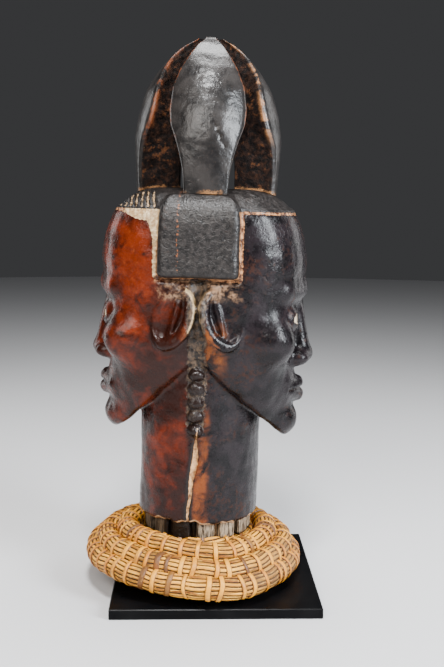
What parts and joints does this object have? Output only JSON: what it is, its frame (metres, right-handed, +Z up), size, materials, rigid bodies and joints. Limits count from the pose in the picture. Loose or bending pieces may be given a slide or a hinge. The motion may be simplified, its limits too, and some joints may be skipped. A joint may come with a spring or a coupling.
{
  "type": "janus headdress mask",
  "caption": "Hide-covered janus head with two calm faces and pointed hair lobes, seated in a coiled basketry cap on a square black plate.",
  "frame": {"origin": "middle of the plate's underside", "axes": "+Z up through the head, +X to the right where one face looks, +Y away from the viewer"},
  "size_m": [0.231, 0.2285, 0.5404],
  "materials": {
    "dark_hide": "glossy hide over wood, red-brown to near black",
    "lobe_hide": "weathered satin",
    "straw": "dry plant stems, wrapped with split cane",
    "black_base": "satin black"
  },
  "bodies": {
    "root": {"janus_head": "dark_hide", "hair_lobe_front": "lobe_hide", "hair_lobe_right": "lobe_hide", "hair_lobe_back": "lobe_hide", "hair_lobe_left": "lobe_hide", "coiled_basket": "straw", "base_plate": "black_base"}
  },
  "joints": []
}
